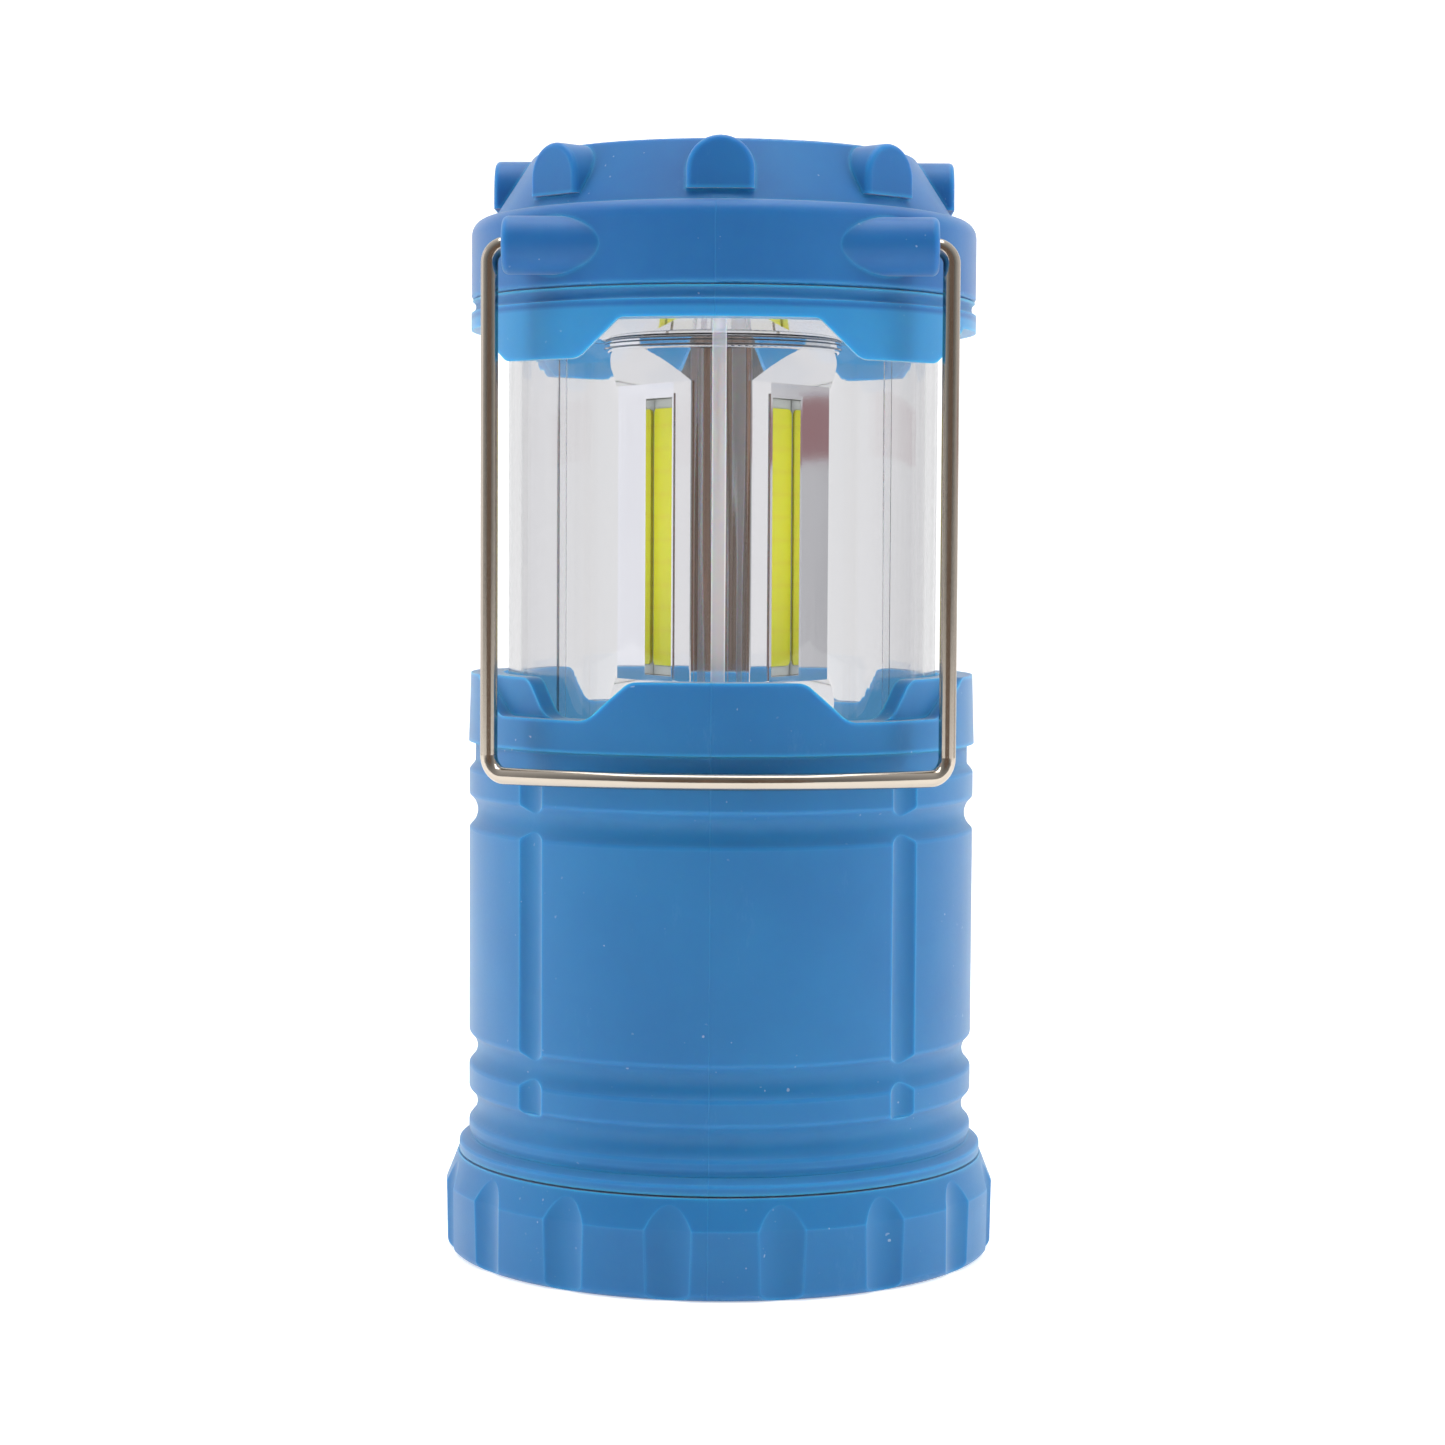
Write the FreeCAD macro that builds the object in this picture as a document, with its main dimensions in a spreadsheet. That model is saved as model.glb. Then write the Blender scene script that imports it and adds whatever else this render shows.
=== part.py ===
"""A collapsible camping lantern: a clear globe and cap that pull up out of a round body.

Frame: +Z up, origin at the centre of the base's underside, and the carrying handle on the -Y side. Millimetres.
Azimuths are measured from -Y (the front) towards +X.
"""

import FreeCAD, Part
import math
import os
import re

import Sketcher

V = FreeCAD.Vector
doc = FreeCAD.newDocument("Lantern")
sheet = doc.addObject("Spreadsheet::Sheet", "Sizes")

SIZES = {
    # base cover
    "cover_radius": 45.2,
    "cover_foot_radius": 45.0,
    "cover_height": 15.8,
    "cover_shoulder_z": 11.0,
    "cover_rim_radius": 43.3,
    "cover_bore": 41.2,
    "cover_floor": 3.0,
    "cover_foot_round": 1.5,
    "scallop_radius": 7.8,
    "scallop_depth": 1.1,
    "scallop_lean": 6.0,
    "crest_round": 0.3,
    "hub_radius": 2.0,
    "hub_top_z": 7.4,
    "plate_z": 4.2,
    "plate_thickness": 1.6,
    # body shell
    "shell_radius": 41.5,
    "shell_bottom_z": 7.5,
    "shell_flange_z": 16.1,
    "shell_flange_radius": 43.1,
    "shell_neck_radius": 40.9,
    "shell_mouth_radius": 40.5,
    "shell_mouth_z": 78.9,
    "shell_top_z": 83.4,
    "shell_bore": 38.4,
    "shell_ledge_z": 15.6,
    "shell_ledge_bore": 36.4,
    "groove_radius": 3.2,
    "groove_depth": 1.38,
    "groove_soften": 0.8,
    "flute_radius": 4.4,
    "flute_depth": 1.0,
    "guide_half_width": 1.0,
    "guide_height": 1.2,
    "seal_radius": 0.85,
    "seal_z": 13.4,
    # lower collar
    "collar_radius": 41.62,
    "collar_bottom_z": 83.5,
    "collar_top_z": 94.7,
    "collar_top_radius": 41.28,
    "collar_bore": 35.9,
    "lug_radius": 39.05,
    "collar_stop_z": 80.5,
    "collar_spigot_radius": 38.3,
    "notch_floor_z": 88.5,
    "notch_floor_round": 4.2,
    "notch_top_round": 3.0,
    # sliding lamp unit
    "globe_radius": 35.2,
    "globe_wall": 2.0,
    "globe_bottom_z": 76.4,
    "globe_top_z": 159.5,
    "globe_foot_radius": 37.0,
    "globe_foot_z": 80.3,
    "globe_head_radius": 38.3,
    "globe_head_z": 157.6,
    "globe_rib_half_width": 1.1,
    "globe_rib_reach": 35.7,
    "carrier_radius": 38.3,
    "carrier_bottom_z": 74.2,
    "carrier_top_z": 76.3,
    "carrier_bore": 13.4,
    # upper collar and cap
    "upper_radius": 41.3,
    "upper_skirt_bore": 39.3,
    "upper_bottom_z": 144.3,
    "upper_top_z": 155.25,
    "upper_notch_z": 150.4,
    "upper_bore": 35.9,
    "upper_spigot_radius": 38.7,
    "upper_spigot_z": 157.5,
    "upper_groove_z": 154.2,
    "upper_tab_round": 2.8,
    "upper_notch_round": 1.8,
    "cap_radius": 41.25,
    "cap_bottom_z": 155.35,
    "cap_ledge_z": 168.3,
    "cap_ledge_radius": 37.7,
    "cap_top_radius": 31.2,
    "cap_top_z": 178.4,
    "cap_bore": 38.8,
    "cap_inner_bore": 37.4,
    "cap_step_z": 159.6,
    "cap_shoulder_round": 2.6,
    "cap_roof_z": 175.4,
    "knob_half_width": 5.25,
    "knob_reach": 37.4,
    "knob_floor_z": 170.1,
    "knob_round": 0.8,
    "knob_arch_z": 172.95,
    "boss_radius": 4.5,
    "boss_reach": 33.6,
    "boss_round": 1.0,
    "pivot_y": 32.35,
    "pivot_z": 161.7,
    "pivot_hole_radius": 1.43,
    "pivot_hole_end": 25.2,
    # handle
    "wire_radius": 1.35,
    "handle_half_width": 35.6,
    "handle_tip": 25.8,
    "handle_bar_z": 79.8,
    "handle_bend": 2.6,
    "handle_corner": 3.2,
    "handle_bar_y": 43.5,
    # reflector post and light strips
    "post_bottom_z": 76.4,
    "post_foot_radius": 24.0,
    "post_foot_z": 78.6,
    "post_radius": 18.5,
    "post_top_z": 153.4,
    "trough_low_z": 93.5,
    "trough_high_z": 141.8,
    "trough_rise": 1.15,
    "post_core": 9.25,
    "post_core_tip": 15.6,
    "post_core_top_z": 150.0,
    "rib_reach": 17.75,
    "rib_half_width": 4.8,
    "rib_round": 0.4,
    "rib_flute_radius": 30.0,
    "rib_flute_floor": 17.45,
    "trough_floor": 11.7,
    "trough_reach": 13.1,
    "slot_bottom_z": 94.4,
    "slot_top_z": 139.5,
    "slot_half_width": 4.6,
    "frame_width": 0.6,
    "frame_height": 0.3,
    "board_back": 9.8,
    "board_thickness": 0.5,
    "phosphor_thickness": 0.3,
    "phosphor_half_width": 4.2,
    "phosphor_end_gap": 1.6,
    "phosphor_corner": 1.0,
    "ceiling_bore": 18.6,
    "ceiling_lip": 19.2,
    "ceiling_edge": 19.55,
    "ceiling_lip_z": 147.0,
    "ceiling_radius": 33.0,
    "ceiling_rim": 30.8,
    "ceiling_rim_z": 152.2,
    "ceiling_top_z": 153.4,
    "top_plate_z": 153.5,
    "top_plate_thickness": 2.0,
    "board_radius": 20.0,
    "board_z": 155.6,
    "board_height": 1.4,
    # battery holder
    "cell_radius": 5.25,
    "cell_length": 44.5,
    "cell_bottom_z": 11.0,
    "cell_circle": 6.3,
    "tube_bore": 5.35,
    "tube_radius": 5.95,
    "tube_top_z": 57.6,
    "tube_bottom_z": 10.5,
    "deck_radius": 38.3,
    "deck_thickness": 2.4,
    # screws, wires and contacts
    "screw_radius": 0.85,
    "screw_head_radius": 1.75,
    "screw_head_height": 1.1,
    "lead_radius": 0.6,
    "lead_circle": 14.2,
    "strip_half_width": 2.0,
    "strip_thickness": 0.25,
}
for row, (alias, value) in enumerate(SIZES.items(), start=1):
    sheet.set(f"A{row}", alias)
    sheet.set(f"B{row}", str(value))
    sheet.setAlias(f"B{row}", alias)
doc.recompute()

WORD = re.compile(r"\b(" + "|".join(sorted(SIZES, key=len, reverse=True)) + r")\b")
FRONT = V(0, -1, 0)
ORIGIN_POINT = (-1, 1)
parts = []
probe = doc.addObject("App::FeaturePython", "Probe")
probe.addProperty("App::PropertyFloat", "Value")


def bind(obj, prop, expression):
    obj.setExpression(prop, WORD.sub(r"Sizes.\1", str(expression)))


def num(expression):
    """The value of a sheet expression, such as "cap_radius - 2"."""
    bind(probe, "Value", expression)
    probe.recompute()
    return float(probe.Value)


def azimuth(degrees):
    """Rotation about Z that carries the front (-Y) to this azimuth."""
    return FreeCAD.Rotation(V(0, 0, 1), degrees)


def keep(obj, label):
    obj.Label = label
    parts.append(obj)
    return obj


def new_body(label):
    return keep(doc.addObject("PartDesign::Body", "Body_" + label), label)


def origin_feature(body, role):
    return next(f for f in body.Origin.OriginFeatures if f.Role == role)


def attach(body, plane, offset="0", turn=0.0):
    """A sketch on one of the body's origin planes, moved along the plane's normal and turned about it."""
    sketch = body.newObject("Sketcher::SketchObject", "Sketch")
    sketch.AttachmentSupport = [(origin_feature(body, plane), "")]
    sketch.MapMode = "FlatFace"
    sketch.AttachmentOffset = FreeCAD.Placement(V(0, 0, num(offset)), FreeCAD.Rotation(V(0, 0, 1), turn))
    if offset != "0":
        bind(sketch, "AttachmentOffset.Base.z", offset)
    return sketch


def polygon(sketch, points):
    """A closed outline whose corners are held by expressions of the sheet."""
    where = [V(num(a), num(b), 0) for a, b in points]
    count = len(points)
    first = sketch.GeometryCount
    lines = [Part.LineSegment(where[i], where[(i + 1) % count]) for i in range(count)]
    sketch.addGeometry(lines, False)
    for i in range(count):
        sketch.addConstraint(Sketcher.Constraint("Coincident", first + i, 2, first + (i + 1) % count, 1))
    for i, (a, b) in enumerate(points):
        for kind, expression, value in (("DistanceX", a, where[i].x), ("DistanceY", b, where[i].y)):
            index = sketch.addConstraint(Sketcher.Constraint(kind, *ORIGIN_POINT, first + i, 1, value))
            bind(sketch, f"Constraints[{index}]", expression)
    return sketch


def circle(sketch, x, y, radius):
    where = V(num(x), num(y), 0)
    geometry = sketch.addGeometry(Part.Circle(where, V(0, 0, 1), num(radius)), False)
    for kind, expression, value in (("DistanceX", x, where.x), ("DistanceY", y, where.y)):
        index = sketch.addConstraint(Sketcher.Constraint(kind, *ORIGIN_POINT, geometry, 3, value))
        bind(sketch, f"Constraints[{index}]", expression)
    index = sketch.addConstraint(Sketcher.Constraint("Radius", geometry, num(radius)))
    bind(sketch, f"Constraints[{index}]", radius)
    return sketch


def turn_feature(body, kind, sketch, angle=360.0):
    feature = body.newObject("PartDesign::" + kind, kind)
    feature.Profile = sketch
    feature.ReferenceAxis = (sketch, ["V_Axis"])
    feature.Angle = angle
    doc.recompute()
    return feature


def turned(body, points):
    """A ring or cup: the outline (radius, height) turned about Z."""
    return turn_feature(body, "Revolution", polygon(attach(body, "XZ_Plane"), points))


def bored(body, points):
    """Cuts the outline (radius, height), turned about Z, out of the body."""
    return turn_feature(body, "Groove", polygon(attach(body, "XZ_Plane"), points))


def ring_groove(body, radius, height, wire):
    return turn_feature(body, "Groove", circle(attach(body, "XZ_Plane"), radius, height, wire))


def extrude(body, kind, sketch, length, midplane=False, reverse=False):
    feature = body.newObject("PartDesign::" + kind, kind)
    feature.Profile = sketch
    feature.Midplane = midplane
    feature.Reversed = reverse
    feature.Length = num(length)
    bind(feature, "Length", length)
    doc.recompute()
    return feature


def around(body, feature, count):
    pattern = body.newObject("PartDesign::PolarPattern", "Pattern")
    pattern.Originals = [feature]
    pattern.Axis = (origin_feature(body, "Z_Axis"), [""])
    pattern.Angle = 360
    pattern.Occurrences = count
    body.Tip = pattern
    doc.recompute()
    return pattern


def soften(body, base, chosen, radius):
    """Fillets the edges of base that the test picks."""
    names = [f"Edge{i}" for i, edge in enumerate(base.Shape.Edges, start=1) if chosen(edge)]
    if not names:
        raise ValueError("no edge to soften on " + body.Label)
    fillet = body.newObject("PartDesign::Fillet", "Fillet")
    fillet.Base = (base, names)
    fillet.Radius = num(radius)
    bind(fillet, "Radius", radius)
    doc.recompute()
    return fillet


def ring_edge(*wanted):
    """A test for round edges about Z at these (radius, height) pairs."""
    places = [(num(r), num(z)) for r, z in wanted]

    def chosen(edge):
        if not isinstance(edge.Curve, Part.Circle):
            return False
        centre, radius = edge.Curve.Center, edge.Curve.Radius
        on_axis = math.hypot(centre.x, centre.y) < 0.01
        return on_axis and any(abs(radius - r) < 0.02 and abs(centre.z - z) < 0.02 for r, z in places)

    return chosen


def primitive(kind, placement=None, **sizes):
    """A Part primitive whose sizes are bound to the sheet."""
    obj = doc.addObject("Part::" + kind, kind)
    for prop, expression in sizes.items():
        bind(obj, prop, expression)
    if placement is not None:
        obj.Placement = placement
    doc.recompute()
    return obj


def upright(radius, x, y, low, high):
    """A cylinder standing on Z between two heights."""
    place = FreeCAD.Placement(V(x, y, num(low)), FreeCAD.Rotation())
    return primitive("Cylinder", place, Radius=radius, Height=f"({high}) - ({low})")


def fused(*shapes):
    obj = doc.addObject("Part::MultiFuse", "Fuse")
    obj.Shapes = list(shapes)
    doc.recompute()
    return obj


def cut(base, tool):
    obj = doc.addObject("Part::Cut", "Cut")
    obj.Base, obj.Tool = base, tool
    doc.recompute()
    return obj


def grouped(label, shapes):
    """Identical pieces that share one node, as separate solids."""
    obj = doc.addObject("Part::Compound", "Group")
    obj.Links = list(shapes)
    doc.recompute()
    return keep(obj, label)


def spots(radius, azimuths):
    """(x, y) at this radius for each azimuth."""
    return [(num(radius) * math.sin(math.radians(a)), -num(radius) * math.cos(math.radians(a))) for a in azimuths]


# ---------------------------------------------------------------- base

THIRDS = (0, 120, 240)
BETWEEN = (60, 180, 300)
GRIPS = 16
GRIP_TURN = 2.3


def base_cover():
    body = new_body("base_cover")
    solid = turned(body, [
        ("0", "0"), ("cover_foot_radius", "0"), ("cover_radius", "cover_shoulder_z"),
        ("cover_rim_radius", "cover_height"), ("cover_bore", "cover_height"), ("cover_bore", "cover_floor"),
        ("hub_radius + 1.2", "cover_floor"), ("hub_radius + 1.2", "plate_z - 0.1"),
        ("hub_radius", "plate_z - 0.1"), ("hub_radius", "hub_top_z"), ("0", "hub_top_z"),
    ])
    soften(body, solid, ring_edge(("cover_foot_radius", "0")), "cover_foot_round")
    low = attach(body, "XY_Plane", turn=GRIP_TURN + 180.0 / GRIPS)
    circle(low, "0", "-(cover_radius - scallop_depth + scallop_radius)", "scallop_radius")
    around(body, extrude(body, "Pocket", low, "cover_shoulder_z", reverse=True), GRIPS)
    high = attach(body, "XY_Plane", "cover_shoulder_z", turn=GRIP_TURN + 180.0 / GRIPS)
    circle(high, "0", "-(cover_radius - scallop_depth + scallop_radius)", "scallop_radius")
    lean = extrude(body, "Pocket", high, "cover_height - cover_shoulder_z + 1", reverse=True)
    bind(lean, "TaperAngle", "scallop_lean")
    doc.recompute()
    grips = around(body, lean, GRIPS)

    def crest(edge):
        """The upright edges where a scallop meets the grip beside it."""
        box = edge.BoundBox
        return box.ZMin < 2.5 and box.ZMax > 9 and box.XLength < 1.5 and box.YLength < 1.5

    soften(body, grips, crest, "crest_round")


def seal_ring():
    ring = primitive("Torus", Radius1="cover_bore - seal_radius - 0.05", Radius2="seal_radius")
    bind(ring, "Placement.Base.z", "seal_z")
    doc.recompute()
    keep(ring, "seal_ring")


def contact_plate():
    body = new_body("contact_plate")
    top = "plate_z + plate_thickness"
    turned(body, [("hub_radius + 0.15", "plate_z"), ("16", "plate_z"), ("16", top), ("hub_radius + 0.15", top)])


def plate_clip():
    body = new_body("plate_clip")
    low = "plate_z + plate_thickness + 0.1"
    high = "plate_z + plate_thickness + 0.7"
    turned(body, [("hub_radius + 0.05", low), ("3.0", low), ("3.0", high), ("hub_radius + 0.05", high)])


def bridge_contacts():
    """Plated discs on the contact plate, one under each cell."""
    low = "plate_z + plate_thickness + 0.02"
    high = "plate_z + plate_thickness + 0.35"
    discs = [upright("2.4", x, y, low, high) for x, y in spots("cell_circle", THIRDS)]
    grouped("bridge_contacts", discs)


SPRING_TURNS = 3
SPRING_COIL_RADIUS = 1.75
SPRING_WIRE_RADIUS = 0.28


def battery_springs():
    """Coil springs that press on the cells' lower ends."""
    low = num("plate_z + plate_thickness") + 0.65 + SPRING_WIRE_RADIUS
    high = num("cell_bottom_z") - 0.45 - SPRING_WIRE_RADIUS
    coils = []
    for x, y in spots("cell_circle", THIRDS):
        helix = Part.makeHelix((high - low) / SPRING_TURNS, high - low, SPRING_COIL_RADIUS)
        section = Part.Wire(Part.makeCircle(SPRING_WIRE_RADIUS, helix.Vertexes[0].Point, V(0, 1, 0.13)))
        coil = Part.Wire(helix).makePipeShell([section], True, True)
        coil.translate(V(x, y, low))
        coils.append(coil)
    group = doc.addObject("Part::Feature", "Springs")
    group.Shape = Part.makeCompound(coils)
    keep(group, "battery_springs")


# ---------------------------------------------------------------- body

SHELL_GROOVES = (23.8, 33.05, 72.1)
FLUTES = 4
GUIDE_TURN = 90.0
DECK_SCREW_CIRCLE = 33.4
DECK_SCREW_TURN = 30.0
DECK_SCREWS = (30, 150, 270)


def body_shell():
    body = new_body("body_shell")
    crease = ("shell_radius - 0.45", "shell_flange_z + 2.5")
    flange_top = ("shell_flange_radius", "shell_flange_z + 1.5")
    above_crease = ("shell_radius", "shell_flange_z + 3.7")
    mouth_bends = [("shell_radius", "shell_mouth_z"), ("shell_mouth_radius", "shell_mouth_z + 1.2")]
    solid = turned(body, [
        ("shell_ledge_bore", "shell_bottom_z"), ("shell_neck_radius", "shell_bottom_z"),
        ("shell_neck_radius", "shell_flange_z"), ("shell_flange_radius", "shell_flange_z"), flange_top, crease,
        above_crease, *mouth_bends,
        ("shell_mouth_radius", "shell_top_z"), ("shell_bore", "shell_top_z"), ("shell_bore", "shell_ledge_z"),
        ("shell_ledge_bore", "shell_ledge_z"),
    ])
    soften(body, solid, ring_edge(above_crease, *mouth_bends), "0.7")
    soften(body, body.Tip, ring_edge(flange_top), "0.4")
    for height in SHELL_GROOVES:
        ring_groove(body, "shell_radius - groove_depth + groove_radius", height, "groove_radius")
    tool = attach(body, "XY_Plane", "26", turn=45)
    circle(tool, "0", "-(shell_radius - flute_depth + flute_radius)", "flute_radius")
    flute = extrude(body, "Pocket", tool, "53.8", reverse=True)
    fluted = around(body, flute, FLUTES)

    def rim(edge):
        """Round edges that the grooves left sharp on the outer wall."""
        if not isinstance(edge.Curve, Part.Circle):
            return False
        centre, radius = edge.Curve.Center, edge.Curve.Radius
        near = any(0.5 < abs(centre.z - z) < 3.5 for z in SHELL_GROOVES)
        return near and abs(radius - num("shell_radius")) < 0.01 and math.hypot(centre.x, centre.y) < 0.01

    soften(body, fluted, rim, "groove_soften")
    ring_groove(body, "cover_bore - seal_radius - 0.05", "seal_z", "seal_radius + 0.03")
    guide = attach(body, "XY_Plane", "shell_ledge_z", turn=GUIDE_TURN)
    polygon(guide, [
        ("-guide_half_width", "-shell_bore - 0.6"), ("guide_half_width", "-shell_bore - 0.6"),
        ("guide_half_width", "guide_height - shell_bore"), ("-guide_half_width", "guide_height - shell_bore"),
    ])
    rib = extrude(body, "Pad", guide, "collar_stop_z - shell_ledge_z - 0.1")
    around(body, rib, 3)
    seat = attach(body, "XY_Plane", "shell_bottom_z + 1", turn=DECK_SCREW_TURN)
    circle(seat, "0", f"-({DECK_SCREW_CIRCLE} + 1.4)", "3.6")
    boss = extrude(body, "Pad", seat, "shell_ledge_z - shell_bottom_z - 1")
    around(body, boss, 3)
    hole = attach(body, "XY_Plane", "shell_ledge_z", turn=DECK_SCREW_TURN)
    circle(hole, "0", f"-{DECK_SCREW_CIRCLE}", "screw_radius + 0.05")
    drilled = extrude(body, "Pocket", hole, "6")
    around(body, drilled, 3)


def attach_radial(body, degrees):
    """A sketch standing on the axis, facing this azimuth: x runs across and y runs up."""
    sketch = body.newObject("Sketcher::SketchObject", "Sketch")
    sketch.AttachmentSupport = [(origin_feature(body, "XZ_Plane"), "")]
    sketch.MapMode = "FlatFace"
    sketch.AttachmentOffset = FreeCAD.Placement(V(0, 0, 0), FreeCAD.Rotation(V(0, 1, 0), degrees))
    return sketch


def notch(body, centre, low, high, left, right, over="2"):
    """Cuts a sloped notch through a ring. left and right are its edges' azimuths at the low and high levels."""
    radius = num("collar_radius")
    across = [radius * math.sin(math.radians(a - centre)) for a in (left[0], right[0], right[1], left[1])]
    tool = attach_radial(body, centre)
    polygon(tool, [
        (across[0], low), (across[1], low), (across[2], high), (across[2], f"{high} + {over}"),
        (across[3], f"{high} + {over}"), (across[3], high),
    ])
    return extrude(body, "Pocket", tool, "60", reverse=True)


def mirrored_front_to_back(centre, left, right):
    """The same notch at four places: mirrored across the front, the back and both sides."""
    places = []
    for start in (0, 180):
        places.append((start + centre, tuple(start + a for a in left), tuple(start + a for a in right)))
        end = start + 180
        places.append((end - centre, tuple(end - a for a in right), tuple(end - a for a in left)))
    return places


def notch_corner(level):
    """A test for the short straight edges where the slopes of notches meet this level."""
    height = num(level)

    def chosen(edge):
        if not isinstance(edge.Curve, Part.Line):
            return False
        a, b = (vertex.Point for vertex in edge.Vertexes)
        return abs(a.z - b.z) < 0.01 and abs(a.z - height) < 0.01 and edge.Length < 9

    return chosen


def lower_collar():
    body = new_body("lower_collar")
    turned(body, [
        ("collar_radius", "collar_bottom_z"), ("collar_top_radius", "collar_top_z"),
        ("lug_radius", "collar_top_z"), ("lug_radius", "collar_bottom_z"),
    ])
    for centre, left, right in mirrored_front_to_back(43.25, (29.3, 19.3), (56.5, 70.5)):
        notch(body, centre, "notch_floor_z", "collar_top_z", left, right)
    turned(body, [
        ("lug_radius + 0.1", "collar_bottom_z"), ("lug_radius + 0.1", "notch_floor_z - 1"),
        ("lug_radius", "notch_floor_z - 1"), ("lug_radius", "collar_top_z"), ("collar_bore", "collar_top_z"),
        ("collar_bore", "collar_stop_z"), ("collar_spigot_radius", "collar_stop_z"),
        ("collar_spigot_radius", "collar_bottom_z"),
    ])
    for centre, left, right in mirrored_front_to_back(43.25, (29.3, 19.3), (44, 50)):
        notch(body, centre, "notch_floor_z", "collar_top_z", left, right)
    soften(body, body.Tip, notch_corner("notch_floor_z"), "notch_floor_round")
    soften(body, body.Tip, notch_corner("collar_top_z"), "notch_top_round")


def three_uprights(radius, low, high):
    """Cylinders on the cells' axes, joined."""
    return fused(*[upright(radius, x, y, low, high) for x, y in spots("cell_circle", THIRDS)])


def battery_holder():
    """A round deck with a three-lobed tube through it, closed at the top."""
    deck = upright("deck_radius", 0, 0, "shell_ledge_z + 0.05", "shell_ledge_z + 0.05 + deck_thickness")
    outer = three_uprights("tube_radius", "tube_bottom_z", "tube_top_z")
    solid = fused(deck, outer)
    bores = three_uprights("tube_bore", "tube_bottom_z - 1", "cell_bottom_z + cell_length + 0.5")
    holes = [upright("screw_radius + 0.05", x, y, "shell_ledge_z", "shell_ledge_z + 4")
             for x, y in spots(DECK_SCREW_CIRCLE, DECK_SCREWS)]
    notches = [slab("deck_radius - guide_height - 0.4", "deck_radius + 1", "guide_half_width + 0.3",
                    "shell_ledge_z", "shell_ledge_z + 4", GUIDE_TURN + a) for a in THIRDS]
    channels = [slab("deck_radius - strip_thickness - 0.4", "deck_radius + 1", "strip_half_width + 0.4",
                     "shell_ledge_z", "shell_ledge_z + 4", a) for a in STRIP_AZIMUTHS]
    keep(cut(solid, fused(bores, *holes, *notches, *channels)), "battery_holder")


STRIP_AZIMUTHS = (120, 240)
CELL_POLE_RADIUS = 2.7
CELL_POLE_HEIGHT = 1.0


def battery_cells():
    cells = []
    for x, y in spots("cell_circle", THIRDS):
        can = upright("cell_radius", x, y, "cell_bottom_z", f"cell_bottom_z + cell_length - {CELL_POLE_HEIGHT}")
        pole = upright(CELL_POLE_RADIUS, x, y, "cell_bottom_z + cell_length - 2", "cell_bottom_z + cell_length")
        cells.append(fused(can, pole))
    grouped("battery_cells", cells)


def cell_contacts():
    """Plated discs between the cells' upper poles and the tube's roof."""
    low, high = "cell_bottom_z + cell_length + 0.03", "cell_bottom_z + cell_length + 0.45"
    grouped("cell_contacts", [upright("3.5", x, y, low, high) for x, y in spots("cell_circle", THIRDS)])


def contact_strips():
    """Upright plated strips on the shell's bore that the leaf contacts run along."""
    strips = [slab("shell_bore - 0.03 - strip_thickness", "shell_bore - 0.09", "strip_half_width",
                   "shell_ledge_z + 0.1", "collar_stop_z - 0.2", a) for a in STRIP_AZIMUTHS]
    grouped("contact_strips", strips)


# ---------------------------------------------------------------- screws

def screw(x, y, head_z, length, points_up):
    """A countersunk screw with its head's flat at head_z."""
    turn = FreeCAD.Rotation(V(1, 0, 0), 0 if points_up else 180)
    place = FreeCAD.Placement(V(x, y, num(head_z)), turn)
    head = primitive("Cone", place, Radius1="screw_head_radius", Radius2="screw_radius",
                     Height="screw_head_height")
    shank = primitive("Cylinder", place, Radius="screw_radius", Height=length)
    return fused(head, shank)


def sink(x, y, head_z, length, points_up):
    """The clearance cut for a countersunk screw."""
    turn = FreeCAD.Rotation(V(1, 0, 0), 0 if points_up else 180)
    place = FreeCAD.Placement(V(x, y, num(head_z)), turn)
    head = primitive("Cone", place, Radius1="screw_head_radius + 0.1", Radius2="screw_radius + 0.05",
                     Height="screw_head_height + 0.05")
    shank = primitive("Cylinder", place, Radius="screw_radius + 0.05", Height=length)
    return fused(head, shank)


def screw_group(label, radius, azimuths, head_z, length, points_up):
    grouped(label, [screw(x, y, head_z, length, points_up) for x, y in spots(radius, azimuths)])


def deck_screws():
    deck_top = "shell_ledge_z + 0.05 + deck_thickness"
    heads = []
    for x, y in spots(DECK_SCREW_CIRCLE, DECK_SCREWS):
        head = upright("screw_head_radius", x, y, f"{deck_top} + 0.02", f"{deck_top} + 0.5")
        shank = upright("screw_radius", x, y, "shell_ledge_z - 4.5", f"{deck_top} + 0.3")
        heads.append(fused(head, shank))
    grouped("deck_screws", heads)


# ---------------------------------------------------------------- sliding lamp unit

GLOBE_RIBS = (0, 124, 236)
GLOBE_SCREW_CIRCLE = 35.1
FOOT_SCREW_CIRCLE = 21.5
POST_SCREW_CIRCLE = 6.5
CAP_SCREW_CIRCLE = 28.0


def globe():
    body = new_body("globe")
    inner = "globe_radius - globe_wall"
    turned(body, [
        (inner, "globe_bottom_z"), ("globe_foot_radius", "globe_bottom_z"), ("globe_foot_radius", "globe_foot_z"),
        ("globe_radius", "globe_foot_z"), ("globe_radius", "globe_head_z"), ("globe_head_radius", "globe_head_z"),
        ("globe_head_radius", "globe_top_z"), (inner, "globe_top_z"),
    ])
    for degrees in GLOBE_RIBS:
        rib = attach(body, "XY_Plane", "globe_foot_z - 1", turn=degrees)
        polygon(rib, [
            ("-globe_rib_half_width", "-globe_radius + 0.6"), ("-globe_rib_half_width", "-globe_rib_reach"),
            ("globe_rib_half_width", "-globe_rib_reach"), ("globe_rib_half_width", "-globe_radius + 0.6"),
        ])
        extrude(body, "Pad", rib, "globe_head_z - globe_foot_z + 2")
    hole = attach(body, "XY_Plane", "globe_bottom_z", turn=BETWEEN[0])
    circle(hole, "0", f"-{GLOBE_SCREW_CIRCLE}", "screw_radius + 0.05")
    drilled = extrude(body, "Pocket", hole, "3", reverse=True)
    around(body, drilled, 3)


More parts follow.
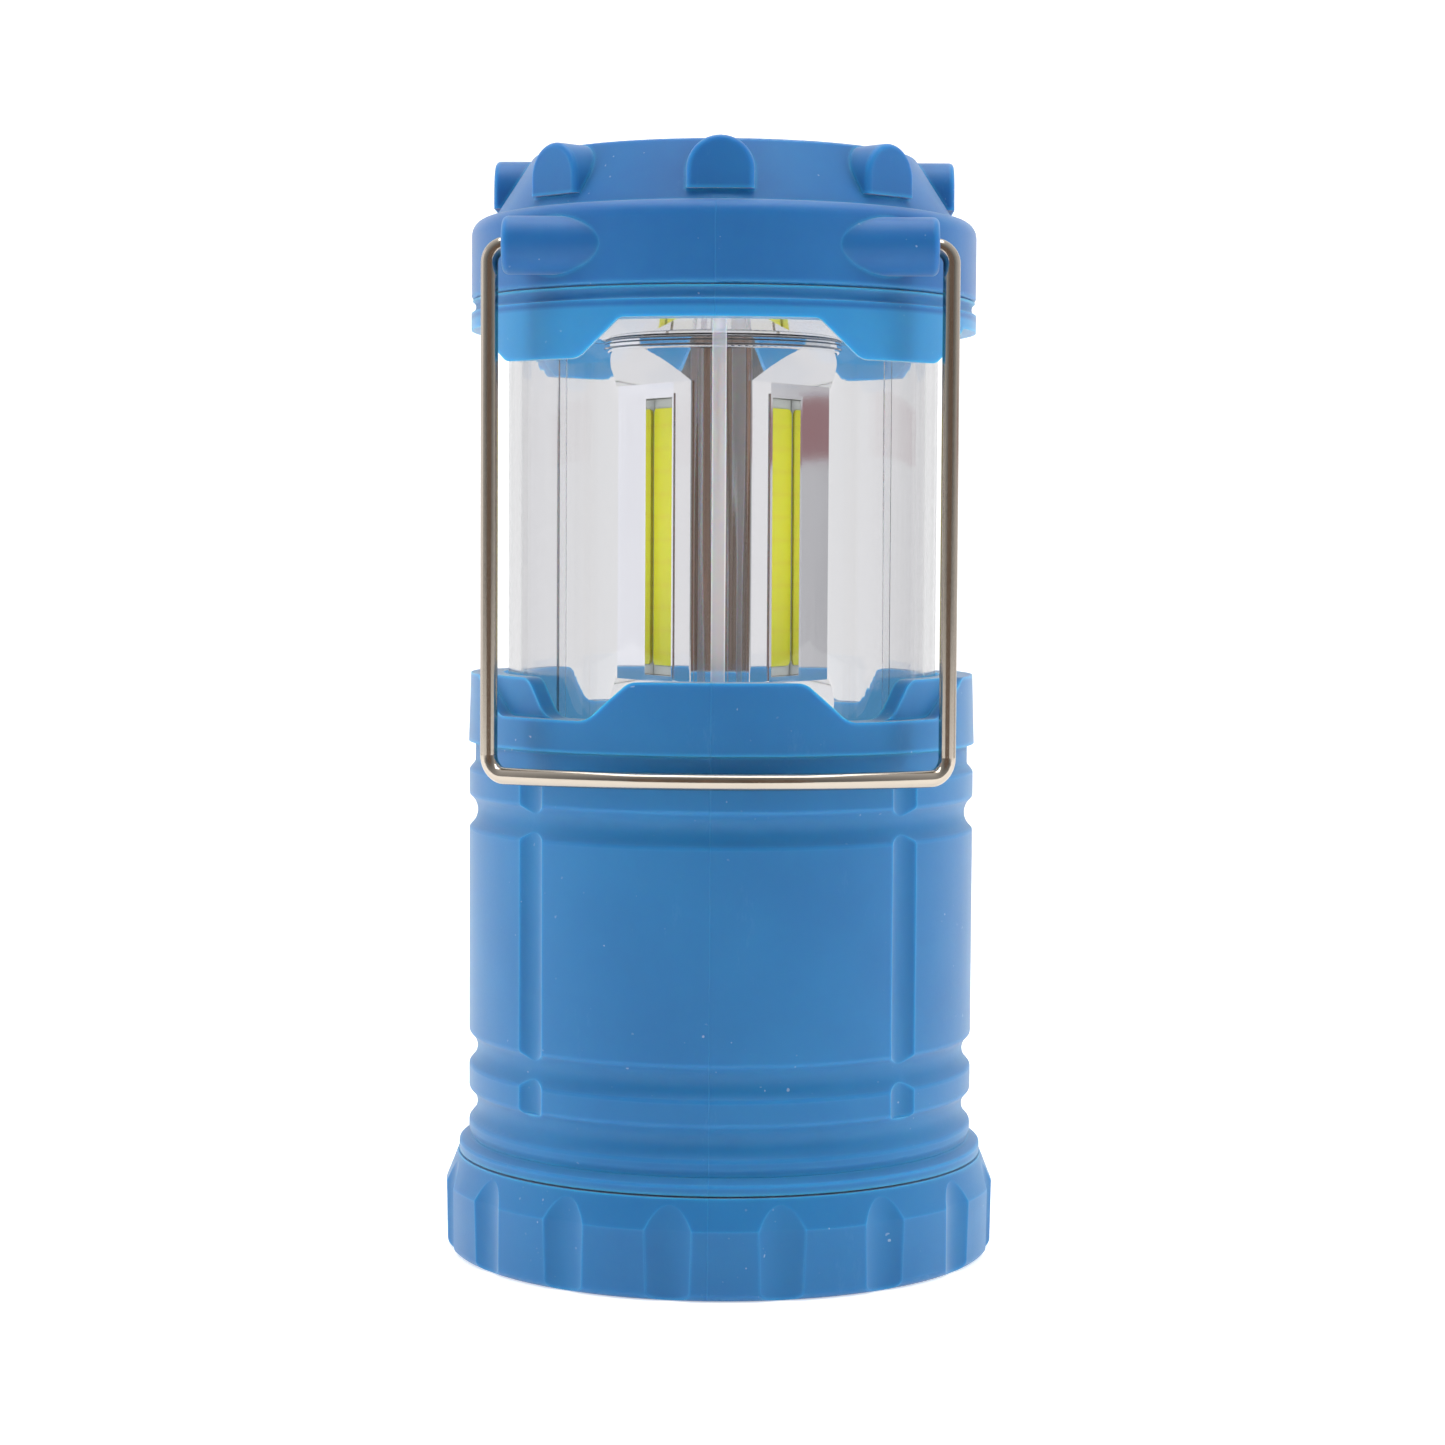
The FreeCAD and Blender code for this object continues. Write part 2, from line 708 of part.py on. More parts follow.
def hexagon_core(tip):
    """Corners of a three-sided hole with its tips cut off square, pointing at the ribs."""
    half = (2 * num("post_core") - num(tip)) * math.tan(math.radians(30))
    return lobed(num(tip), half)


def lobed(reach, half):
    """The corner pairs at three ribs, turned about the axis."""
    points = []
    for degrees in THIRDS:
        turn = azimuth(degrees)
        points += [turn.multVec(V(-half, -reach, 0)), turn.multVec(V(half, -reach, 0))]
    return [(p.x, p.y) for p in points]


def rib_and_face_corners():
    """The post's section: a flat end on each rib, and long faces that dip to the rims of the strip slots."""
    points = []
    for degrees in THIRDS:
        rib, face = azimuth(degrees), azimuth(degrees + 60)
        reach, half = num("rib_reach"), num("rib_half_width")
        floor, rim = num("trough_floor"), num("slot_half_width")
        points += [rib.multVec(V(-half, -reach, 0)), rib.multVec(V(half, -reach, 0))]
        points += [face.multVec(V(-rim, -floor, 0)), face.multVec(V(rim, -floor, 0))]
    return [(p.x, p.y) for p in points]


def reflector_post():
    """A round post with three deep troughs between its ribs, each with a sloped roof and floor."""
    body = new_body("reflector_post")
    section = attach(body, "XY_Plane", "trough_low_z - 6")
    polygon(section, rib_and_face_corners())
    extrude(body, "Pad", section, "trough_high_z - trough_low_z + 12")
    turned(body, [
        ("0", "post_bottom_z"), ("post_foot_radius", "post_bottom_z"), ("post_foot_radius", "post_foot_z"),
        ("post_radius", "post_foot_z"), ("post_radius", "trough_low_z"), ("trough_floor - 1", "trough_low_z"),
        ("trough_floor - 1", "trough_high_z"), ("post_radius", "trough_high_z"), ("post_radius", "post_top_z"),
        ("0", "post_top_z"),
    ])
    outside = "post_radius + 2"
    climb = "trough_rise * (post_radius + 2 - trough_reach)"
    side = attach_side(body, BETWEEN[0])
    polygon(side, [
        ("trough_reach", "trough_low_z"), (outside, f"trough_low_z - {climb}"),
        (outside, f"trough_high_z + {climb}"), ("trough_reach", "trough_high_z"),
    ])
    trough = extrude(body, "Pocket", side, "36", midplane=True)
    around(body, trough, 3)
    tool = attach(body, "XY_Plane", "post_foot_z + 1")
    circle(tool, "0", "-(rib_flute_floor + rib_flute_radius)", "rib_flute_radius")
    flute = extrude(body, "Pocket", tool, "ceiling_lip_z + 1 - post_foot_z", reverse=True)
    fluted = around(body, flute, 3)

    def rib_corner(edge):
        """The long upright corners of the ribs."""
        middle = edge.CenterOfMass
        long = isinstance(edge.Curve, Part.Line) and edge.BoundBox.ZLength > 40
        return long and math.hypot(middle.x, middle.y) > num("rib_flute_floor")

    soften(body, fluted, rib_corner, "rib_round")
    frame = attach(body, "XY_Plane", "slot_bottom_z - frame_width", turn=BETWEEN[0])
    polygon(frame, [
        ("-slot_half_width - frame_width", "-trough_floor - frame_height"),
        ("slot_half_width + frame_width", "-trough_floor - frame_height"),
        ("slot_half_width + frame_width", "1 - trough_floor"), ("-slot_half_width - frame_width", "1 - trough_floor"),
    ])
    raised = extrude(body, "Pad", frame, "slot_top_z - slot_bottom_z + 2 * frame_width")
    around(body, raised, 3)
    slot = attach(body, "XY_Plane", "slot_bottom_z", turn=BETWEEN[0])
    polygon(slot, [
        ("-slot_half_width", "-trough_floor - 2"), ("slot_half_width", "-trough_floor - 2"),
        ("slot_half_width", "-board_back + 0.02"), ("-slot_half_width", "-board_back + 0.02"),
    ])
    recess = extrude(body, "Pocket", slot, "slot_top_z - slot_bottom_z", reverse=True)
    around(body, recess, 3)
    core = attach(body, "XY_Plane", "post_bottom_z - 1")
    polygon(core, hexagon_core("post_core_tip"))
    extrude(body, "Pocket", core, "post_core_top_z - post_bottom_z + 1", reverse=True)
    for radius, azimuths, level, depth, size, up in (
            (FOOT_SCREW_CIRCLE, BETWEEN, "post_bottom_z", "1.8", "screw_radius + 0.05", True),
            (POST_SCREW_CIRCLE, BETWEEN, "post_top_z", "2.6", "screw_radius + 0.05", False),
            (num("lead_circle"), STRIP_AZIMUTHS, "post_top_z", "5", "lead_radius + 0.15", False)):
        for degrees in azimuths:
            hole = attach(body, "XY_Plane", level, turn=degrees)
            circle(hole, "0", f"-{radius}", size)
            extrude(body, "Pocket", hole, depth, reverse=up)


def attach_side(body, degrees):
    """A sketch on the upright plane through the axis: x runs out along this azimuth and y runs up."""
    sketch = body.newObject("Sketcher::SketchObject", "Sketch")
    sketch.AttachmentSupport = [(origin_feature(body, "XZ_Plane"), "")]
    sketch.MapMode = "FlatFace"
    sketch.AttachmentOffset = FreeCAD.Placement(V(0, 0, 0), FreeCAD.Rotation(V(0, 1, 0), degrees - 90))
    return sketch


def slab(near, far, half_width, low, high, degrees):
    """A box between two distances from the axis and two heights, carried round to an azimuth."""
    box = primitive("Box", Length=f"2 * ({half_width})", Width=f"({far}) - ({near})", Height=f"({high}) - ({low})")
    turn = azimuth(degrees)
    box.Placement = FreeCAD.Placement(turn.multVec(V(-num(half_width), -num(far), num(low))), turn)
    doc.recompute()
    return box


def led_boards():
    front = "board_back + board_thickness"
    boards = [slab("board_back", front, "slot_half_width - 0.05", "slot_bottom_z + 0.05", "slot_top_z - 0.05", a)
              for a in BETWEEN]
    grouped("led_boards", boards)


def phosphor_strips():
    """Thin strips with rounded corners, one on each board."""
    near = "board_back + board_thickness + 0.02"
    strips = []
    for degrees in BETWEEN:
        strip = slab(near, f"{near} + phosphor_thickness", "phosphor_half_width",
                     "slot_bottom_z + phosphor_end_gap", "slot_top_z - phosphor_end_gap", degrees)
        fillet = doc.addObject("Part::Fillet", "Corners")
        fillet.Base = strip
        corner = num("phosphor_corner")
        fillet.Edges = [(i, corner, corner) for i, edge in enumerate(strip.Shape.Edges, start=1)
                        if abs(edge.Length - num("phosphor_thickness")) < 0.01]
        doc.recompute()
        strips.append(fillet)
    grouped("phosphor_strips", strips)


def ceiling_reflector():
    """A shallow cone around the post's top, with a stepped lip."""
    body = new_body("ceiling_reflector")
    solid = turned(body, [
        ("ceiling_bore", "ceiling_lip_z"), ("ceiling_lip", "ceiling_lip_z"),
        ("ceiling_lip", "ceiling_lip_z + 0.5"), ("ceiling_edge", "ceiling_lip_z + 0.6"),
        ("ceiling_edge", "ceiling_lip_z + 1.2"), ("ceiling_edge - 0.15", "ceiling_lip_z + 1.3"),
        ("ceiling_edge - 0.15", "ceiling_lip_z + 1.7"), ("ceiling_rim", "ceiling_rim_z"),
        ("ceiling_radius", "ceiling_rim_z"), ("ceiling_radius", "ceiling_top_z"),
        ("ceiling_rim - 0.6", "ceiling_top_z"), ("ceiling_lip - 0.2", "ceiling_lip_z + 3"),
        ("ceiling_bore", "ceiling_lip_z + 3"),
    ])
    soften(body, solid, ring_edge(("ceiling_lip", "ceiling_lip_z")), "0.3")


def carrier():
    """The ring that joins the globe to the post and slides in the shell's bore."""
    ring = upright("carrier_radius", 0, 0, "carrier_bottom_z", "carrier_top_z")
    low, high = "carrier_bottom_z - 1", "carrier_top_z + 1"
    bore = upright("carrier_bore", 0, 0, low, high)
    notches = [slab("carrier_radius - guide_height - 0.4", "carrier_radius + 1", "guide_half_width + 0.15",
                    low, high, GUIDE_TURN + a) for a in THIRDS]
    channels = [slab("carrier_radius - strip_thickness - 0.4", "carrier_radius + 1", "strip_half_width + 0.4",
                     low, high, a) for a in STRIP_AZIMUTHS]
    sinks = [sink(x, y, "carrier_bottom_z", "6", True)
             for radius in (GLOBE_SCREW_CIRCLE, FOOT_SCREW_CIRCLE) for x, y in spots(radius, BETWEEN)]
    passages = [upright("lead_radius + 0.15", x, y, low, high) for x, y in spots("lead_circle", STRIP_AZIMUTHS)]
    keep(cut(ring, fused(bore, *notches, *channels, *sinks, *passages)), "carrier")


def contact_leaves():
    """Sprung strips under the carrier whose ends reach the contact strips."""
    leaves = [slab("carrier_bore", "shell_bore - strip_thickness - 0.1", "1.4",
                   "carrier_bottom_z - 0.27", "carrier_bottom_z - 0.02", a) for a in STRIP_AZIMUTHS]
    grouped("contact_leaves", leaves)


def top_plate():
    plate = upright("globe_radius - globe_wall - 0.1", 0, 0, "top_plate_z", "top_plate_z + top_plate_thickness")
    tools = [sink(x, y, "top_plate_z", "6", True) for x, y in spots(CAP_SCREW_CIRCLE, BETWEEN)]
    tools += [sink(x, y, "top_plate_z + top_plate_thickness", "6", False)
              for x, y in spots(POST_SCREW_CIRCLE, BETWEEN)]
    tools += [upright("lead_radius + 0.15", x, y, "top_plate_z - 1", "top_plate_z + 4")
              for x, y in spots("lead_circle", STRIP_AZIMUTHS)]
    keep(cut(plate, fused(*tools)), "top_plate")


def driver_board():
    disc = upright("board_radius", 0, 0, "board_z", "board_z + board_height")
    holes = [upright("lead_radius + 0.1", x, y, "board_z - 1", "board_z + 4")
             for x, y in spots("lead_circle", STRIP_AZIMUTHS)]
    keep(cut(disc, fused(*holes)), "driver_board")


def leads():
    low, high = "carrier_bottom_z", "board_z + board_height + 0.6"
    grouped("leads", [upright("lead_radius", x, y, low, high) for x, y in spots("lead_circle", STRIP_AZIMUTHS)])


def screws():
    screw_group("globe_screws", GLOBE_SCREW_CIRCLE, BETWEEN, "carrier_bottom_z + 0.03", "4.6", True)
    screw_group("post_foot_screws", FOOT_SCREW_CIRCLE, BETWEEN, "carrier_bottom_z + 0.03", "3.6", True)
    screw_group("post_top_screws", POST_SCREW_CIRCLE, BETWEEN,
                "top_plate_z + top_plate_thickness - 0.03", "4.4", False)
    screw_group("cap_screws", CAP_SCREW_CIRCLE, BETWEEN, "top_plate_z + 0.03", "7", True)


# ---------------------------------------------------------------- cap

def upper_collar():
    body = new_body("upper_collar")
    solid = turned(body, [
        ("upper_skirt_bore", "upper_bottom_z"), ("upper_radius", "upper_bottom_z"), ("upper_radius", "upper_top_z"),
        ("upper_spigot_radius", "upper_top_z"), ("upper_spigot_radius", "upper_spigot_z"),
        ("upper_bore", "upper_spigot_z"), ("upper_bore", "upper_notch_z"), ("upper_skirt_bore", "upper_notch_z"),
    ])
    soften(body, solid, ring_edge(("upper_radius", "upper_top_z")), "0.5")
    low, high = "upper_notch_z", "upper_bottom_z"
    for start in (0, 180):
        notch(body, start, low, high, (start - 21.5, start - 31.5), (start + 21.5, start + 31.5), over="-2")
        side = start + 90
        notch(body, side, low, high, (side - 21, side - 35), (side + 21, side + 35), over="-2")
    soften(body, body.Tip, notch_corner("upper_bottom_z"), "upper_tab_round")
    soften(body, body.Tip, notch_corner("upper_notch_z"), "upper_notch_round")
    ring_groove(body, "upper_radius + 0.35", "upper_groove_z", "1.1")


KNOBS = 8


def knob(body):
    """A round-topped block that stands out of the sloped wall and ends in an upright face."""
    sketch = attach_radial(body, 0)
    half, arch, floor = num("knob_half_width"), num("knob_arch_z"), num("knob_floor_z")
    corners = [V(half, arch, 0), V(half, floor, 0), V(-half, floor, 0), V(-half, arch, 0)]
    lines = [Part.LineSegment(a, b) for a, b in zip(corners, corners[1:])]
    top = Part.ArcOfCircle(Part.Circle(V(0, arch, 0), V(0, 0, 1), half), 0, math.pi)
    sketch.addGeometry(lines + [top], False)
    for first, second in ((0, 1), (1, 2)):
        sketch.addConstraint(Sketcher.Constraint("Coincident", first, 2, second, 1))
    sketch.addConstraint(Sketcher.Constraint("Coincident", 3, 1, 0, 1))
    sketch.addConstraint(Sketcher.Constraint("Coincident", 3, 2, 2, 2))
    for kind, vertex, expression in (("DistanceX", (0, 1), "knob_half_width"), ("DistanceY", (0, 1), "knob_arch_z"),
                                     ("DistanceX", (0, 2), "knob_half_width"),
                                     ("DistanceY", (0, 2), "knob_floor_z"),
                                     ("DistanceX", (2, 1), "-knob_half_width"),
                                     ("DistanceY", (2, 1), "knob_floor_z"),
                                     ("DistanceX", (2, 2), "-knob_half_width"),
                                     ("DistanceY", (2, 2), "knob_arch_z"), ("DistanceY", (3, 3), "knob_arch_z")):
        index = sketch.addConstraint(Sketcher.Constraint(kind, *ORIGIN_POINT, *vertex, num(expression)))
        bind(sketch, f"Constraints[{index}]", expression)
    pad = extrude(body, "Pad", sketch, "knob_reach")
    return around(body, pad, KNOBS)


def cap():
    body = new_body("cap")
    solid = turned(body, [
        ("0", "cap_bottom_z"), ("cap_radius", "cap_bottom_z"), ("cap_radius", "cap_ledge_z"),
        ("cap_ledge_radius", "cap_ledge_z"), ("cap_top_radius", "cap_top_z"), ("0", "cap_top_z"),
    ])
    soften(body, solid, ring_edge(("cap_radius", "cap_ledge_z")), "cap_shoulder_round")
    soften(body, body.Tip, ring_edge(("cap_radius", "cap_bottom_z"), ("cap_top_radius", "cap_top_z")), "0.7")
    knobs = knob(body)

    def face_edge(edge):
        """The outline of each knob's upright face."""
        points = [vertex.Point for vertex in edge.Vertexes] + [edge.CenterOfMass]
        middle = edge.CenterOfMass
        step = 360 / KNOBS
        turn = azimuth(-step * round(math.degrees(math.atan2(middle.x, -middle.y)) / step))
        return all(abs(-turn.multVec(p).y - num("knob_reach")) < 0.01 and p.z > num("cap_ledge_z") - 0.01
                   for p in points) and edge.BoundBox.ZLength > 0.1

    soften(body, knobs, face_edge, "knob_round")
    boss = attach(body, "YZ_Plane")
    circle(boss, "-pivot_y", "pivot_z", "boss_radius")
    bosses = extrude(body, "Pad", boss, "2 * boss_reach", midplane=True)

    def boss_rim(edge):
        """The rims of the bosses' flat ends."""
        return abs(abs(edge.CenterOfMass.x) - num("boss_reach")) < 0.01 and edge.BoundBox.XLength < 0.01

    soften(body, bosses, boss_rim, "boss_round")
    bored(body, [
        ("0", "cap_bottom_z - 1"), ("cap_bore", "cap_bottom_z - 1"), ("cap_bore", "cap_step_z"),
        ("cap_inner_bore", "cap_step_z"), ("cap_inner_bore", "cap_ledge_z - 2"),
        ("cap_top_radius - 2.4", "cap_roof_z"), ("0", "cap_roof_z"),
    ])
    post = attach(body, "XY_Plane", "board_z", turn=BETWEEN[0])
    circle(post, "0", f"-{CAP_SCREW_CIRCLE}", "3")
    pillar = extrude(body, "Pad", post, "cap_roof_z - board_z + 0.5")
    around(body, pillar, 3)
    hole = attach(body, "XY_Plane", "board_z", turn=BETWEEN[0])
    circle(hole, "0", f"-{CAP_SCREW_CIRCLE}", "screw_radius + 0.05")
    drilled = extrude(body, "Pocket", hole, "6", reverse=True)
    around(body, drilled, 3)
    for side in (1, -1):
        pivot = attach(body, "YZ_Plane", f"{side} * pivot_hole_end")
        circle(pivot, "-pivot_y", "pivot_z", "pivot_hole_radius")
        extrude(body, "Pocket", pivot, "12", reverse=side > 0)

    def mouth(edge):
        """The rims of the pivot holes at the bosses' ends."""
        at_end = abs(abs(edge.CenterOfMass.x) - num("boss_reach")) < 0.01
        return at_end and isinstance(edge.Curve, Part.Circle) and edge.Curve.Radius < 2

    soften(body, body.Tip, mouth, "0.45")


# ---------------------------------------------------------------- handle

def handle():
    """A bent wire: two tips, two straight legs and a bar that bows forward."""
    reach, tip, back = num("handle_half_width"), num("handle_tip"), -num("pivot_y")
    top, bar_z, front = num("pivot_z"), num("handle_bar_z"), -num("handle_bar_y")
    bend, corner = num("handle_bend"), num("handle_corner")
    # The bar is one arc. Its end slope is found by stepping until the corner bend runs into it smoothly.
    slope = 0.5
    for _ in range(30):
        end_x = reach - corner * math.cos(slope)
        end_y = back - corner * math.sin(slope)
        rise = end_y - front
        slope = math.asin(2 * rise * end_x / (end_x ** 2 + rise ** 2))
    half = math.sqrt(0.5)

    def mirrored(points):
        return [V(-p.x, p.y, p.z) for p in reversed(points)]

    def corner_point(part):
        """A point on the lower corner bend: part runs from 0 at the leg to 1 at the bar."""
        angle = part * math.pi / 2
        out = corner * (1 - math.cos(angle))
        down = corner * (1 - math.sin(angle))
        return V(reach - out * math.cos(slope), back - out * math.sin(slope), bar_z + down)

    tip_line = [V(tip, back, top), V(reach - bend, back, top)]
    top_bend = [tip_line[1], V(reach - bend * (1 - half), back, top - bend * (1 - half)), V(reach, back, top - bend)]
    leg = [top_bend[2], corner_point(0)]
    low_bend = [corner_point(0), corner_point(0.5), corner_point(1)]
    bar = Part.Arc(low_bend[2], V(0, front, bar_z), mirrored(low_bend)[0]).toShape()
    right = [Part.makeLine(*tip_line), Part.Arc(*top_bend).toShape(), Part.makeLine(*leg),
             Part.Arc(*low_bend).toShape()]
    left = [Part.Arc(*mirrored(low_bend)).toShape(), Part.makeLine(*mirrored(leg)),
            Part.Arc(*mirrored(top_bend)).toShape(), Part.makeLine(*mirrored(tip_line))]
    path = Part.Wire(right + [bar] + left)
    section = Part.Wire(Part.makeCircle(num("wire_radius"), tip_line[0], V(1, 0, 0)))
    wire = doc.addObject("Part::Feature", "Wire")
    wire.Shape = path.makePipeShell([section], True, False)
    keep(wire, "handle")


def export_all():
    os.makedirs("parts", exist_ok=True)
    doc.recompute()
    for obj in parts:
        shape = obj.Shape
        faults = [state for state in obj.State if state in ("Invalid", "Error")]
        if faults or shape.isNull() or not shape.isValid():
            raise ValueError(f"{obj.Label}: {faults} null={shape.isNull()}")
        shape.exportStep(f"parts/{obj.Label}.step")
        box = shape.BoundBox
        print(f"{obj.Label:20s} solids {len(shape.Solids)}  z {box.ZMin:.2f} to {box.ZMax:.2f}  "
              f"radius {max(box.XMax, box.YMax):.2f}  volume {shape.Volume:.0f}")


for build in (base_cover, seal_ring, contact_plate, plate_clip, bridge_contacts, battery_springs, body_shell,
              lower_collar, battery_holder, battery_cells, cell_contacts, contact_strips, deck_screws, globe,
              reflector_post, led_boards, phosphor_strips, ceiling_reflector, carrier, contact_leaves, top_plate,
              driver_board, leads, screws, upper_collar, cap, handle):
    build()
export_all()
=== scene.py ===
"""Looks for the collapsible camping lantern: materials, fine details, soft studio and camera."""

import math

import bmesh
import bpy
from mathutils import Matrix, Vector

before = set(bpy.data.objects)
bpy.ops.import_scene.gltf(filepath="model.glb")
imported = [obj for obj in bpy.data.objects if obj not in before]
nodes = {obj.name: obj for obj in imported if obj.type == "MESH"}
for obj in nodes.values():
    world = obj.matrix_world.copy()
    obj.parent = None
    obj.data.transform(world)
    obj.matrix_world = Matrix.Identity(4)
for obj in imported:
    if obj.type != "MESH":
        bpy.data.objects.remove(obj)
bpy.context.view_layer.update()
MM = 0.001


# ---------------------------------------------------------------- node helpers

class Graph:
    """A material being built from nodes."""

    def __init__(self, name):
        self.material = bpy.data.materials.new(name)
        self.material.use_nodes = True
        self.tree = self.material.node_tree
        self.tree.nodes.clear()
        self.output = self.tree.nodes.new("ShaderNodeOutputMaterial")

    def add(self, kind, inputs=None, **settings):
        node = self.tree.nodes.new("ShaderNode" + kind)
        for key, value in settings.items():
            setattr(node, key, value)
        for key, value in (inputs or {}).items():
            self.put(node.inputs[key], value)
        return node

    def put(self, socket, value):
        if isinstance(value, bpy.types.NodeSocket):
            self.tree.links.new(value, socket)
        elif isinstance(value, tuple) and len(value) == 3 and socket.type == "RGBA":
            socket.default_value = (*value, 1.0)
        else:
            socket.default_value = value

    def place(self):
        """Position in the object's own frame, in metres. A node's origin is the lantern's."""
        return self.add("TexCoord").outputs["Object"]

    def noise(self, scale, detail=3.0, rough=0.5, vector=None, stretch=None):
        vector = vector or self.place()
        if stretch is not None:
            vector = self.add("Mapping", {"Vector": vector, "Scale": stretch}).outputs["Vector"]
        node = self.add("TexNoise", {"Vector": vector, "Scale": scale, "Detail": detail, "Roughness": rough})
        return node.outputs["Fac"]

    def ramp(self, fac, *stops):
        """A colour ramp: each stop is (position, grey or colour)."""
        node = self.add("ValToRGB", {"Fac": fac})
        elements = node.color_ramp.elements
        while len(elements) < len(stops):
            elements.new(0.5)
        for element, (position, value) in zip(elements, stops):
            element.position = position
            colour = value if isinstance(value, tuple) else (value, value, value)
            element.color = (*colour, 1.0)
        return node.outputs["Color"]

    def scaled(self, fac, low, high, start=0.0, end=1.0):
        return self.add("MapRange", {"Value": fac, "From Min": start, "From Max": end, "To Min": low,
                                     "To Max": high}).outputs["Result"]

    def math(self, operation, a, b=0.0):
        node = self.add("Math", operation=operation)
        self.put(node.inputs[0], a)
        self.put(node.inputs[1], b)
        return node.outputs["Value"]

    def mix(self, fac, a, b, blend="MIX"):
        node = self.add("Mix", data_type="RGBA", blend_type=blend)
        self.put(node.inputs["Factor"], fac)
        colours = [socket for socket in node.inputs if socket.type == "RGBA"]
        self.put(colours[0], a)
        self.put(colours[1], b)
        return next(socket for socket in node.outputs if socket.type == "RGBA")

    def bump(self, height, strength, distance, normal=None):
        inputs = {"Height": height, "Strength": strength, "Distance": distance}
        if normal is not None:
            inputs["Normal"] = normal
        return self.add("Bump", inputs).outputs["Normal"]

    def edges(self, radius):
        """1 on convex edges and 0 on flat ground, from the geometry around the point."""
        bevel = self.add("Bevel", {"Radius": radius}, samples=4)
        flat = self.add("NewGeometry").outputs["Normal"]
        dot = self.add("VectorMath", operation="DOT_PRODUCT")
        self.put(dot.inputs[0], bevel.outputs["Normal"])
        self.put(dot.inputs[1], flat)
        return self.scaled(dot.outputs["Value"], 1.0, 0.0, 0.90, 0.999)

    def finish(self, shader):
        self.tree.links.new(shader, self.output.inputs["Surface"])
        return self.material


# ---------------------------------------------------------------- materials

BLUE = (0.014, 0.146, 0.362)
BLUE_LIGHT = (0.030, 0.300, 0.580)
# Painted shade: a darker copy of BLUE for the cap and upper collar, which are the same plastic lit less.
SHADED_CAP_BLUE = (0.008, 0.112, 0.335)
DUST = (0.42, 0.52, 0.62)
SEAM_HALF_WIDTH = 0.14 * MM


def painted_inner_glow(g, x, y, z, zone):
    """A painted glow for daylight that comes through a thin wall: it shows only on faces that look towards the axis.
    """
    low, high = zone
    normal = g.add("SeparateXYZ", {"Vector": g.add("TexCoord").outputs["Normal"]})
    outward = g.math("ADD", g.math("MULTIPLY", x, normal.outputs["X"]), g.math("MULTIPLY", y, normal.outputs["Y"]))
    inward = g.scaled(outward, 1.0, 0.0, -20.0 * MM, -5.0 * MM)
    inside = g.math("MULTIPLY", g.math("GREATER_THAN", z, low), g.math("LESS_THAN", z, high))
    return g.math("MULTIPLY", g.math("MULTIPLY", inward, inside), 0.42)


def blue_plastic(name, blue, seam_x, lit_zone, thin_below=None):
    """Matte moulded plastic, a little translucent: fine grain, soft colour drift, a painted highlight on the edges, a
    mould seam.

    Below the height thin_below the wall is a thin skirt, painted paler there as a painted glow for the light that
    comes through it. Its inside has a painted glow between the two heights of lit_zone.
    """
    g = Graph(name)
    drift = g.noise(28.0, 4.0, 0.6)
    grain = g.noise(2600.0, 2.0, 0.7)
    colour = g.mix(g.scaled(drift, 0.0, 0.22, 0.3, 0.7), blue, BLUE_LIGHT)
    # Painted highlight: convex edges are painted paler, towards BLUE_LIGHT.
    colour = g.mix(g.math("MULTIPLY", g.edges(1.0 * MM), 0.95), colour, BLUE_LIGHT)
    scuff = g.ramp(g.noise(160.0, 6.0, 0.75, stretch=(1.0, 1.0, 0.35)), (0.62, 0.0), (0.72, 1.0))
    colour = g.mix(g.math("MULTIPLY", scuff, 0.10), colour, (0.16, 0.36, 0.60))
    speck = g.math("MULTIPLY", g.ramp(g.noise(1100.0, 1.0, 0.4), (0.77, 0.0), (0.80, 1.0)),
                   g.ramp(g.noise(90.0, 2.0, 0.5), (0.50, 0.0), (0.62, 1.0)))
    colour = g.mix(g.math("MULTIPLY", speck, 0.55), colour, DUST)
    rough = g.math("ADD", g.scaled(grain, 0.44, 0.56), g.math("MULTIPLY", scuff, 0.06))
    normal = g.bump(grain, 0.10, 0.05 * MM)
    normal = g.bump(g.noise(420.0, 3.0, 0.5), 0.06, 0.12 * MM, normal)
    x, y, z = separated(g)
    # Painted glow: the thin skirt is painted paler for the light that comes through it.
    if thin_below is not None:
        thin = g.scaled(z, 0.62, 0.0, thin_below - 0.6 * MM, thin_below)
        colour = g.mix(thin, colour, BLUE_LIGHT)
    near = g.math("ABSOLUTE", g.math("SUBTRACT", x, seam_x))
    front = g.math("MULTIPLY", g.math("LESS_THAN", y, 0.0), g.math("LESS_THAN", z, 168.0 * MM))
    line = g.math("MULTIPLY", g.scaled(near, 1.0, 0.0, 0.0, SEAM_HALF_WIDTH), front)
    normal = g.bump(line, 0.5, 0.12 * MM, normal)
    colour = g.mix(g.math("MULTIPLY", line, 0.22), colour, BLUE_LIGHT)
    # The emission below is a painted glow on the inner faces, between the heights of lit_zone.
    shader = g.add("BsdfPrincipled", {
        "Base Color": colour, "Roughness": rough, "Normal": normal, "IOR": 1.42,
        "Emission Color": (0.20, 0.60, 1.0), "Emission Strength": painted_inner_glow(g, x, y, z, lit_zone),
        "Subsurface Weight": 0.7, "Subsurface Radius": (0.10, 0.60, 1.0), "Subsurface Scale": 3.0 * MM,
        "Sheen Weight": 0.34, "Sheen Roughness": 0.40, "Sheen Tint": (0.94, 0.84, 0.70),
    })
    return g.finish(shader.outputs["BSDF"])


def separated(g):
    node = g.add("SeparateXYZ", {"Vector": g.place()})
    return node.outputs["X"], node.outputs["Y"], node.outputs["Z"]


FLUTE_HALF_WIDTH = 4.7 * MM


